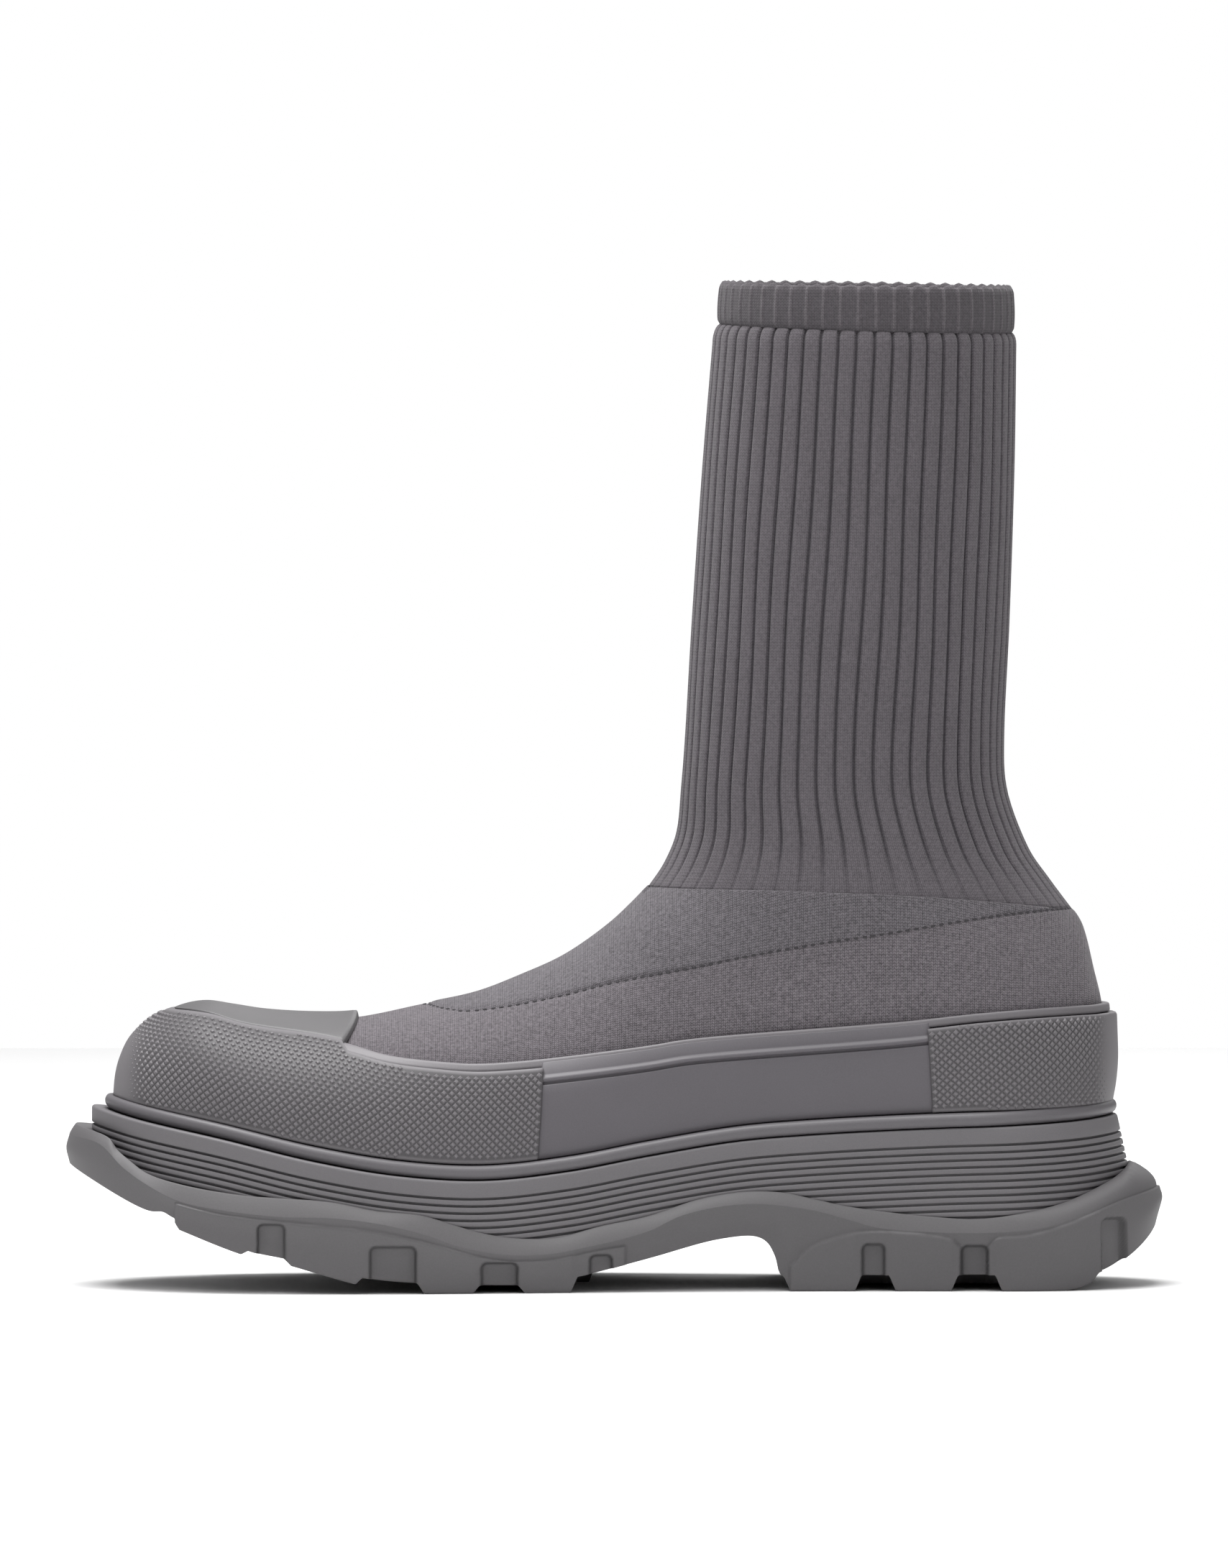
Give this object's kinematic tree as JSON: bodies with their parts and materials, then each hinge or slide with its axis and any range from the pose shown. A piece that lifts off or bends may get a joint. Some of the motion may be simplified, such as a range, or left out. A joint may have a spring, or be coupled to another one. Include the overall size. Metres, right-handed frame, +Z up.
{
  "type": "sock boot",
  "caption": "Pull-on knitted sock boot with ribbed shaft and turned cuff, rubber toe cap and foxing, on a thick ribbed midsole and a flared lugged outsole; right foot.",
  "frame": {"origin": "centre of the bounding box on the floor, under the arch", "axes": "+X from toe to heel, +Y towards the outer side of the foot, +Z up along the shaft"},
  "size_m": [0.329, 0.1216, 0.3005],
  "materials": {
    "outsole_rubber": "matte moulded",
    "midsole_rubber": "matte moulded",
    "foxing_rubber": "satin matte",
    "textured_rubber": "fine raised diamond texture",
    "knit": "matte knit",
    "insole_cloth": "matte cloth"
  },
  "bodies": {
    "root": {"outsole": "outsole_rubber", "midsole": "midsole_rubber", "welt_bead": "foxing_rubber", "toe_bumper": "textured_rubber", "toe_cap": "foxing_rubber", "side_band_inner": "foxing_rubber", "side_band_outer": "foxing_rubber", "heel_counter": "textured_rubber", "foxing_rim": "foxing_rubber", "upper": "knit", "insole": "insole_cloth"}
  },
  "joints": []
}
